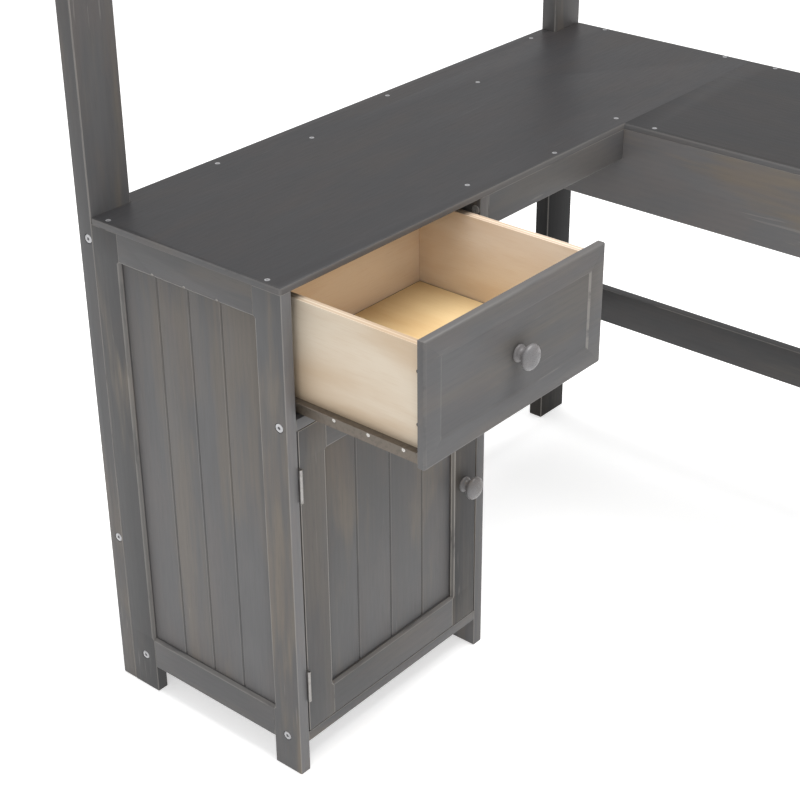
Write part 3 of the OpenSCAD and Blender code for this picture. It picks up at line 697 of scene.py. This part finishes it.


# Painted light: the worktops' edge faces get a lighter grey copy of the stain than their tops.
for top, along in ((main_worktop, "x"), (return_worktop, "y")):
    restain(top, grey_board(top.name + " edge", along, tone=0.85, brown=0.2),
            lambda f: abs(f.normal.z) < 0.75)


def dowel_holes(obj, low, high):
    for side in (-1, 1):
        spot = Vector(((low.x + high.x) / 2 + side * DOWEL_HALF_PITCH, (low.y + high.y) / 2,
                       high.z + OUTSIDE))
        carve(obj, rod(spot, -Z, DOWEL_HOLE[1] + OUTSIDE, DOWEL_HOLE[0]))


def shape_post(obj, low, high):
    split_at(obj, (0, 0, top_low.z), Z)
    dowel_holes(obj, low, high)


for name in ("left_post", "corner_post"):
    tone = 0.74 if name == "left_post" else 0.6
    post = board(name + "_board", name, "z", edge=POST_EDGE, tone=tone, brown=0.6, shape=shape_post)
    # Painted shade: below the worktop, the corner post gets a near black, dull copy of its stain, for the
    # worktop's shade.
    if name == "corner_post":
        restain(post, grey_board("corner post painted shade", "z", tone=0.2, brown=0.1, gloss_level=0.05),
                lambda f: f.center.z < top_low.z)

board("upper_back_rail_board", "upper_back_rail", "x", tone=0.85, nuts_open=Y)
board("lower_back_rail_board", "lower_back_rail", "x", tone=0.8, nuts_open=Y)
board("front_rail_board", "front_rail", "x", tone=0.76, brown=0.2, nuts_open=Y)
board("return_apron_board", "return_apron", "y", tone=1.08, brown=0.85, nuts_open=X)
board("return_outer_rail_board", "return_outer_rail", "y", tone=0.8, nuts_open=-X)
board("return_stretcher_board", "return_stretcher", "y", tone=0.55, brown=0.35, nuts_open=-X)
board("outer_end_leg_board", "outer_end_leg", "z", edge=POST_EDGE, tone=0.9)
board("inner_end_leg_board", "inner_end_leg", "z", edge=POST_EDGE, tone=0.9)
board("end_top_rail_board", "end_top_rail", "x", tone=0.9, nuts_open=Y)
board("end_low_rail_board", "end_low_rail", "x", tone=0.9, nuts_open=Y)

# ---------------------------------------------------------------- cupboard side frames
front_leg_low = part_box("left_front_leg")[0]
panel_low_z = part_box("left_bottom_rail")[1].z
panel_high_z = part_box("left_top_rail")[0].z
cab_left = front_leg_low.x
cab_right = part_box("right_front_leg")[1].x
cab_mid_y = (front_leg_low.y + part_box("left_back_leg")[1].y) / 2


def mould_leg(outer_x, inner_y):
    """A stopped chamfer on the outer face, along the panel."""
    def shape(obj, low, high):
        split_at(obj, (0, 0, panel_low_z), Z)
        split_at(obj, (0, 0, panel_high_z), Z)

        def beside_panel(edge):
            a, b = ends_of(edge)
            upright = abs(a.z - b.z) > 100 * MM
            inside = min(a.z, b.z) > panel_low_z - MM and max(a.z, b.z) < panel_high_z + MM
            return upright and inside and on_plane(edge, 0, outer_x) and on_plane(edge, 1, inner_y)
        chamfer(obj, MOULDING, beside_panel)
    return shape


def mould_rail(outer_x, panel_z, scalloped):
    """A chamfer along the panel, and on the top rail a scallop where each groove runs out."""
    def shape(obj, low, high):
        chamfer(obj, MOULDING, lambda e: on_plane(e, 0, outer_x) and on_plane(e, 2, panel_z))
        if not scalloped:
            return
        inward = 1 if outer_x == low.x else -1
        for i in (-1, 0, 1):
            spot = Vector((outer_x + inward * PANEL_SUNK, cab_mid_y + i * SIDE_PITCH,
                           panel_z - SCALLOP_DROP))
            lean = Vector((-inward, 0, 0.9)).normalized()
            carve(obj, rod(spot, lean, SCALLOP_LENGTH, SCALLOP_RADIUS, 20))
        note_rubbed(obj, 0.9, lambda f: abs(f.normal.y) > 0.05 and abs(f.normal.y) < 0.98)
    return shape


def grooves(obj, low, high, spots, face_axis, face):
    """V grooves up a panel's outer face, which is square to the face axis."""
    reach = 2 * (high - low).length
    for spot in spots:
        deselect()
        bpy.ops.mesh.primitive_cube_add(size=1, location=(0, 0, 0))
        cutter = bpy.context.object
        cutter.scale = (GROOVE * math.sqrt(2), GROOVE * math.sqrt(2), reach)
        settle(cutter)
        cutter.rotation_euler = (0, 0, math.radians(45))
        middle = (low + high) / 2
        middle[face_axis] = face
        middle[1 - face_axis] = spot
        cutter.location = middle
        settle(cutter)
        carve(obj, cutter)


for side, sign in SIDES.items():
    outer_x = cab_left if sign < 0 else cab_right
    leg_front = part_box(side + "_front_leg")
    leg_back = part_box(side + "_back_leg")
    leg = board(side + "_front_leg_board", side + "_front_leg", "z", brown=0.85, tone=0.8,
                shape=mould_leg(outer_x, leg_front[1].y))
    # Painted light: each front leg's front face gets its own copy of the stain, much lighter on the left
    # leg, where the light falls full on it, than on the right one, which stands in the drawer's shade.
    restain(leg, grey_board(side + " leg front painted light", "z", tone=1.3 if sign < 0 else 0.85, brown=0.12),
            lambda f: f.normal.y < -0.9)
    board(side + "_back_leg_board", side + "_back_leg", "z", brown=0.85, tone=0.54,
          shape=mould_leg(outer_x, leg_back[0].y))
    for level, panel_z, tone in (("top", panel_high_z, 0.76), ("bottom", panel_low_z, 0.84)):
        node = f"{side}_{level}_rail"
        a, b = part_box(node)
        a, b = Vector((a.x, a.y + TONGUE, a.z)), Vector((b.x, b.y - TONGUE, b.z))
        board(node + "_board", node, "y", a, b, tone=tone, brown=0.35,
              shape=mould_rail(outer_x, panel_z, scalloped=level == "top"))
    a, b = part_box(side + "_side_panel")
    face = a.x if sign < 0 else b.x
    board(side + "_panel_board", side + "_side_panel", "z", edge=PANEL_EDGE, tone=0.92, brown=0.5,
          shape=lambda obj, low, high, face=face: grooves(
              obj, low, high, [cab_mid_y + i * SIDE_PITCH for i in (-1, 0, 1)], 0, face))

board("mid_rail_board", "mid_rail", "x", tone=0.95, nuts_open=-Z)
board("bottom_board_panel", "bottom_board", "x", tone=0.9, nuts_open=-Z)
board("back_board_panel", "back_board", "z", edge=PANEL_EDGE, tone=0.75, brown=0.3)


# ---------------------------------------------------------------- turned knobs
def turned(name, centre, axis, profile, sides=64):
    """Turns a profile of (radius, distance) on the lathe, from a disc drawn out ring by ring."""
    radius, first = profile[0]
    second = profile[1]
    deselect()
    bpy.ops.mesh.primitive_cylinder_add(vertices=sides, radius=radius, depth=second[1] - first,
                                        location=(0, 0, (second[1] + first) / 2))
    obj = settle(bpy.context.object)
    level = second[1]
    bpy.ops.object.mode_set(mode="EDIT")
    pick(obj, faces=lambda f: f.normal.z > 0.9)
    bpy.ops.transform.resize(value=(second[0] / radius,) * 2 + (1,), center_override=(0, 0, level))
    now = second[0]
    for r, height in profile[2:]:
        bpy.ops.mesh.extrude_region_move(TRANSFORM_OT_translate={"value": (0, 0, height - level)})
        bpy.ops.transform.resize(value=(r / now, r / now, 1), center_override=(0, 0, height))
        now, level = r, height
    bpy.ops.object.mode_set(mode="OBJECT")
    obj.rotation_euler = axis.to_track_quat("Z", "Y").to_euler()
    obj.location = centre
    settle(obj)
    smooth(obj, 50)
    return obj


# Half of a knob's outline from its foot to its face, as radius and height in millimetres
KNOB = [(11.6, 0), (11.6, 2.0), (11.2, 2.7), (10.0, 3.4), (8.6, 4.6), (7.7, 6.2), (7.35, 8.2), (7.5, 10.0),
        (8.3, 11.3), (10.4, 12.3), (13.2, 13.2), (15.4, 14.3), (16.8, 15.8), (17.4, 17.4), (17.4, 18.8),
        (16.9, 20.4), (15.7, 22.0), (13.8, 23.4), (11.2, 24.6), (8.0, 25.4), (4.4, 25.85), (1.0, 25.98)]
for name, node in (("drawer_knob_turned", "drawer_knob"), ("door_knob_turned", "door_knob")):
    a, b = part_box(node)
    centre = Vector(((a.x + b.x) / 2, b.y, (a.z + b.z) / 2))
    knob = turned(name, centre, -Y, [(r * MM, h * MM) for r, h in KNOB])
    stain = stained_pine("Stain " + name, "y", next_shift(), KNOB_GREY, BROWN, brown=0.2, rough=0.28,
                         rub_colour=KNOB_RUBBED, rub=0.3)
    finish_piece(knob, name, stain, node)


# ---------------------------------------------------------------- door
door_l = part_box("door_left_stile")[0].x
door_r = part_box("door_right_stile")[1].x
door_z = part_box("door_left_stile")[0].z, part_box("door_left_stile")[1].z
door_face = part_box("door_left_stile")[0].y
door_panel_z = door_z[0] + DOOR_LOW, door_z[1] - DOOR_TOP


def mould_stile(inner_x):
    def shape(obj, low, high):
        split_at(obj, (0, 0, door_panel_z[0]), Z)
        split_at(obj, (0, 0, door_panel_z[1]), Z)

        def beside_panel(edge):
            a, b = ends_of(edge)
            inside = min(a.z, b.z) > door_panel_z[0] - MM and max(a.z, b.z) < door_panel_z[1] + MM
            return inside and abs(a.z - b.z) > 100 * MM and on_plane(edge, 1, door_face) \
                and on_plane(edge, 0, inner_x)
        chamfer(obj, MOULDING, beside_panel)
    return shape


for side, inner_x in (("left", door_l + STILE), ("right", door_r - STILE)):
    node = f"door_{side}_stile"
    # Painted shadow: the right stile gets a darker, less glossy stain than the left, for the open drawer's
    # shadow on that side of the door.
    tone, gloss_level = (0.74, 0.3) if side == "left" else (0.44, 0.2)
    board(node + "_board", node, "z", edge=DOOR_EDGE, shape=mould_stile(inner_x), rubbed=0.9,
          material=grey_board(node + "_board", "z", tone, brown=0.35, gloss_level=gloss_level))
for level, panel_z in (("top", door_panel_z[1]), ("bottom", door_panel_z[0])):
    node = f"door_{level}_rail"
    a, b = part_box(node)
    a, b = Vector((door_l + STILE, a.y, a.z)), Vector((door_r - STILE, b.y, b.z))
    board(node + "_board", node, "x", a, b, edge=DOOR_EDGE, tone=0.78, brown=0.4,
          shape=lambda obj, low, high, z=panel_z: chamfer(
              obj, MOULDING, lambda e: on_plane(e, 1, door_face) and on_plane(e, 2, z)))
door_mid_x = (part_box("left_front_leg")[1].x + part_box("right_front_leg")[0].x) / 2
board("door_panel_board", "door_panel", "z", edge=PANEL_EDGE, tone=0.84, brown=0.6,
      shape=lambda obj, low, high: grooves(
          obj, low, high, [door_mid_x + i * DOOR_PITCH for i in (-1, 0, 1)], 1, low.y))


# ---------------------------------------------------------------- drawer
def sink_field(obj, low, high):
    """Rounds the front's outer edges and sinks its field with a bevel."""
    only(obj)
    bpy.ops.object.mode_set(mode="EDIT")
    pick(obj, faces=lambda f: f.normal.y < -0.9)
    bpy.ops.mesh.inset(thickness=FIELD_BORDER, depth=0)
    bpy.ops.mesh.inset(thickness=FIELD_BEVEL, depth=-FIELD_DEPTH)
    bpy.ops.object.mode_set(mode="OBJECT")
    # Painted highlight: the field's side bevels are noted as much rubbed, so they show pale; its top and
    # bottom bevels barely.
    note_rubbed(obj, 0.6, lambda f: abs(f.normal.x) > 0.3 and f.normal.y < -0.3)
    note_rubbed(obj, 0.06, lambda f: abs(f.normal.z) > 0.3 and f.normal.y < -0.3)
    soften(obj, 3 * MM, skip=lambda e: not (
        all(abs(v.co.y - low.y) < 0.01 * MM for v in e.verts)
        and any(abs(v.co.x - s) < 0.01 * MM for v in e.verts for s in (low.x, high.x))), segments=4,
        rubbed=0.1)


board("drawer_front_board", "drawer_front", "x", edge=0.7 * MM, tone=0.9, brown=0.3, shape=sink_field,
      rubbed=0.2)

# Each ply board: its grain, the axis its layers lie along, and how its colour leans
PLY_BOARDS = (
    ("drawer_left_side", "y", "x", (0.84, 0.87, 0.90)),
    ("drawer_right_side", "y", "x", (1.10, 1.16, 1.28)),
    ("drawer_inner_front", "x", "y", (1.08, 1.12, 1.2)),
    ("drawer_back", "x", "y", (1.12, 1.17, 1.30)),
    ("drawer_bottom", "y", "z", (1.04, 0.94, 0.66)))
PLY_EDGE = 0.7 * MM
for node, along, stack, warm in PLY_BOARDS:
    a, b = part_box(node)
    if node == "drawer_bottom":
        inset = Vector((FLOOR_INSET, FLOOR_INSET, 0))
        a, b = a + inset, b - inset
    wall = block(a, b, node + "_ply")
    if node == "drawer_bottom":
        only(wall)
        bpy.ops.object.mode_set(mode="EDIT")
        pick(wall, faces=lambda f: f.normal.z > 0.9)
        bpy.ops.mesh.inset(thickness=SEAM, depth=0)
        bpy.ops.object.mode_set(mode="OBJECT")
    soften(wall, PLY_EDGE)
    for point, axis, _ in BOX_SCREWS:
        if near_face(point, axis, a, b):
            radius, depth = BOX_SCREW_SINK
            carve(wall, rod(point - axis * OUTSIDE, axis, depth + OUTSIDE, radius, 24))
    smooth(wall)
    k = "xyz".index(stack)
    finish_piece(wall, node + "_ply", raw_ply(node, along, stack, warm, a[k], b[k] - a[k]), node)
    if node == "drawer_bottom":
        rim = SEAM + 0.8 * MM

        def in_rim(face, a=a, b=b):
            centre = face.center
            return min(centre.x - a.x, b.x - centre.x, centre.y - a.y, b.y - centre.y) < rim
        # Glue and painted shade: a dark rim round the drawer's floor, where it meets the walls.
        restain(wall, raw_ply("seam", along, stack, (0.2, 0.16, 0.12), a[k], b[k] - a[k]), in_rim)
    if node == "drawer_left_side":
        inside = raw_ply(node + " inside", along, stack, (1.22, 1.2, 1.2), a[k], b[k] - a[k])
        restain(wall, inside, lambda f: f.normal.x > 0.9)

# The left upright's front face gets a lighter, duller copy of its stain: painted light on the face that
# looks to the front. Its stain comes after all the other boards, so that each of them keeps its own place
# in the noise.
restain(bpy.data.objects["left_post_board"],
        grey_board("left post front painted light", "z", tone=0.84, brown=0.5, gloss_level=0.15),
        lambda f: f.normal.y < -0.9)

# ---------------------------------------------------------------- fittings that keep their shape
ZINC = coated_metal("Bright zinc", (0.42, 0.42, 0.43), 0.6, 0.38, (0.24, 0.24, 0.25))
NICKEL = coated_metal("Nickel plate", (0.30, 0.29, 0.28), 0.9, 0.38, (0.18, 0.17, 0.16))
BRONZE = coated_metal("Brown coat", (0.124, 0.102, 0.080), 0.3, 0.4, (0.07, 0.056, 0.045))
DARK_ZINC = coated_metal("Box screws", (0.045, 0.042, 0.04), 0.6, 0.5, (0.03, 0.028, 0.026),
                         lower=(0.62, 0.60, 0.57), level=0.59)
NYLON = moulded("White nylon", (0.75, 0.75, 0.72), 0.4)
CATCH = moulded("Catch plastic", (0.72, 0.72, 0.7), 0.45)
FINISHES = {
    "frame_bolts": ZINC, "barrel_nuts": ZINC, "top_screws": ZINC, "cabinet_screws": ZINC,
    "door_screws": ZINC, "drawer_screws": DARK_ZINC, "drawer_knob_screw": ZINC, "door_knob_screw": ZINC,
    "hinge_frame_leaves": NICKEL, "hinge_door_leaves": NICKEL, "hinge_pins": NICKEL,
    "catch_plate": NICKEL, "left_cabinet_runner": BRONZE, "right_cabinet_runner": BRONZE,
    "left_drawer_runner": BRONZE, "right_drawer_runner": BRONZE, "front_rollers": NYLON,
    "rear_rollers": NYLON, "magnetic_catch": CATCH}
for node, material in FINISHES.items():
    NODES[node].data.materials.clear()
    NODES[node].data.materials.append(material)

# ---------------------------------------------------------------- camera, floor and light
CAMERA_PLACE = (-1.8935, -0.9986, 1.6463)
FOCAL_LENGTH = 78.92
YAW, PITCH, ROLL = math.radians(49.56), math.radians(29.06), math.radians(-0.49)
FLOOR_DROP = 0.5 * MM  # keeps the floor clear of the legs' end faces
ahead = Vector((math.sin(YAW) * math.cos(PITCH), math.cos(YAW) * math.cos(PITCH), -math.sin(PITCH)))
level_right = Vector((math.cos(YAW), -math.sin(YAW), 0))
level_up = level_right.cross(ahead)
right = level_right * math.cos(ROLL) + level_up * math.sin(ROLL)
up = level_up * math.cos(ROLL) - level_right * math.sin(ROLL)
lens = bpy.data.cameras.new("camera")
lens.lens = FOCAL_LENGTH
lens.sensor_width = 36
lens.clip_end = 60
camera = bpy.data.objects.new("camera", lens)
bpy.context.scene.collection.objects.link(camera)
turn = Matrix((right, up, -ahead)).transposed().to_4x4()
camera.matrix_world = Matrix.Translation(CAMERA_PLACE) @ turn
bpy.context.scene.camera = camera

deselect()
bpy.ops.mesh.primitive_plane_add(size=24, location=(2, 2, -FLOOR_DROP))
floor = settle(bpy.context.object)
floor.name = "floor"
pale = bpy.data.materials.new("Pale floor")
pale.use_nodes = True
paint = pale.node_tree.nodes["Principled BSDF"]
paint.inputs["Base Color"].default_value = (0.93, 0.93, 0.93, 1)
paint.inputs["Roughness"].default_value = 0.9
paint.inputs["Emission Color"].default_value = (1, 1, 1, 1)
paint.inputs["Emission Strength"].default_value = 0.5
floor.data.materials.append(pale)


def soft_light(name, place, aim, size, power):
    """A round softbox at a place, aimed at a point."""
    lamp = bpy.data.lights.new(name, "AREA")
    lamp.shape = "DISK"
    lamp.size = size
    lamp.energy = power
    obj = bpy.data.objects.new(name, lamp)
    bpy.context.scene.collection.objects.link(obj)
    obj.location = place
    obj.rotation_euler = (Vector(aim) - Vector(place)).to_track_quat("-Z", "Y").to_euler()


soft_light("front softbox", (-3.9, -1.5, 1.9), aim=(0, 0.3, 0.4), size=2.8, power=23)
soft_light("top softbox", (0.2, -0.2, 3.8), aim=(0, 0.2, 0.5), size=3.0, power=150)

# The desk is lit by a soft grey room, and what the camera sees behind it is white paper
world = bpy.data.worlds.new("studio")
world.use_nodes = True
soft = world.node_tree.nodes["Background"]
soft.inputs["Color"].default_value = (1, 1, 1, 1)
soft.inputs["Strength"].default_value = 0.57
paper = world.node_tree.nodes.new("ShaderNodeBackground")
paper.inputs["Color"].default_value = (1, 1, 1, 1)
seen = world.node_tree.nodes.new("ShaderNodeLightPath")
either = world.node_tree.nodes.new("ShaderNodeMixShader")
world.node_tree.links.new(seen.outputs["Is Camera Ray"], either.inputs[0])
world.node_tree.links.new(soft.outputs[0], either.inputs[1])
world.node_tree.links.new(paper.outputs[0], either.inputs[2])
world.node_tree.links.new(either.outputs[0], world.node_tree.nodes["World Output"].inputs["Surface"])
bpy.context.scene.world = world
bpy.context.scene.view_settings.view_transform = "Standard"
